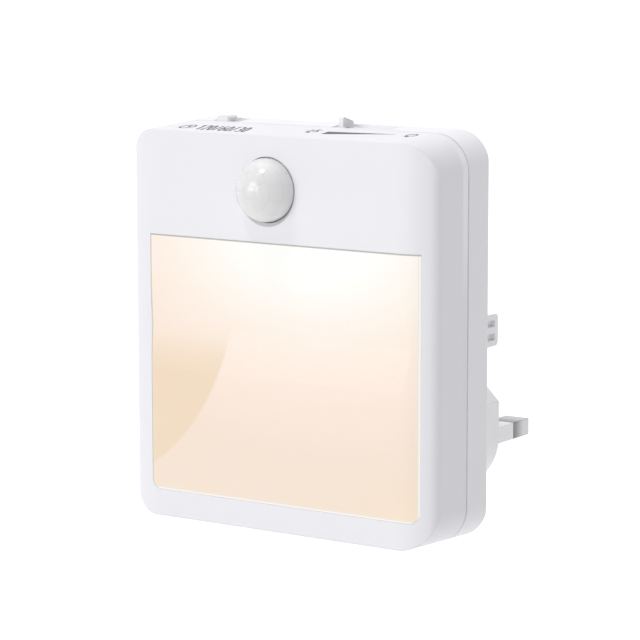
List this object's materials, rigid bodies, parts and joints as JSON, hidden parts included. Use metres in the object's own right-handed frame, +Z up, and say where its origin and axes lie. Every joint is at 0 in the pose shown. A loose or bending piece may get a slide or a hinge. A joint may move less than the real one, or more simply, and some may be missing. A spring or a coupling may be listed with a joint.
{
  "type": "plug-in stair light",
  "caption": "Rectangular plug-in stair light with a lit front window, a domed motion sensor, two slide controls on top and a three-pin plug at the back.",
  "frame": {"origin": "centre of the plug face, midway between the line and neutral pins", "axes": "+X to the right as seen from the front, +Y along the pins into the wall, +Z up; the lit front faces -Y"},
  "size_m": [0.087, 0.0648, 0.1],
  "materials": {
    "case_front": "satin",
    "case_back": "satin",
    "diffuser": "satin, translucent, lit from behind",
    "white_inner": "satin",
    "board_white": "solder mask",
    "board_green": "solder mask",
    "led": "clear resin",
    "lens": "milky, translucent",
    "black_plastic": "matte",
    "dark_resin": "moulded resin",
    "knob": "satin",
    "film_yellow": "gloss",
    "capacitor_blue": "gloss",
    "resistor_blue": "gloss",
    "ferrite": "matte",
    "steel": "zinc plated",
    "pin_metal": "nickel plated",
    "pin_plastic": "satin",
    "contact_brass": "plain"
  },
  "bodies": {
    "housing": {"front_shell": "case_front", "back_shell": "case_back", "diffuser": "diffuser", "reflector_frame": "white_inner", "main_board": "board_white", "led_chips": "led", "pir_lens": "lens", "lens_ring": "white_inner", "pir_sensor": "steel", "sensor_spacer": "black_plastic", "dusk_sensor": "dark_resin", "control_board": "board_green", "control_board_screws": "steel", "timer_switch": "steel", "brightness_pot": "white_inner", "link_header": "black_plastic", "film_capacitor": "film_yellow", "smoothing_capacitor": "capacitor_blue", "bridge_rectifier": "dark_resin", "fusible_resistor": "resistor_blue", "varistor": "capacitor_blue", "inductor": "ferrite", "regulator": "dark_resin", "control_chip": "dark_resin", "board_screws": "steel", "case_screws": "steel", "plug_base": "case_back", "plug_screws": "steel", "line_pin": "pin_metal", "neutral_pin": "pin_metal", "line_sleeve": "pin_plastic", "neutral_sleeve": "pin_plastic", "earth_pin": "pin_plastic", "line_contact": "contact_brass", "neutral_contact": "contact_brass"},
    "timer_control": {"timer_slider": "white_inner", "timer_knob": "knob"},
    "brightness_control": {"brightness_wiper": "black_plastic", "brightness_knob": "knob"}
  },
  "joints": [
    {"name": "timer_slide", "type": "slide", "parent": "housing", "child": "timer_control", "axis": [1, 0, 0], "range_m": [0, 0.0032]},
    {"name": "brightness_slide", "type": "slide", "parent": "housing", "child": "brightness_control", "axis": [1, 0, 0], "range_m": [-0.0013, 0.0131]}
  ]
}
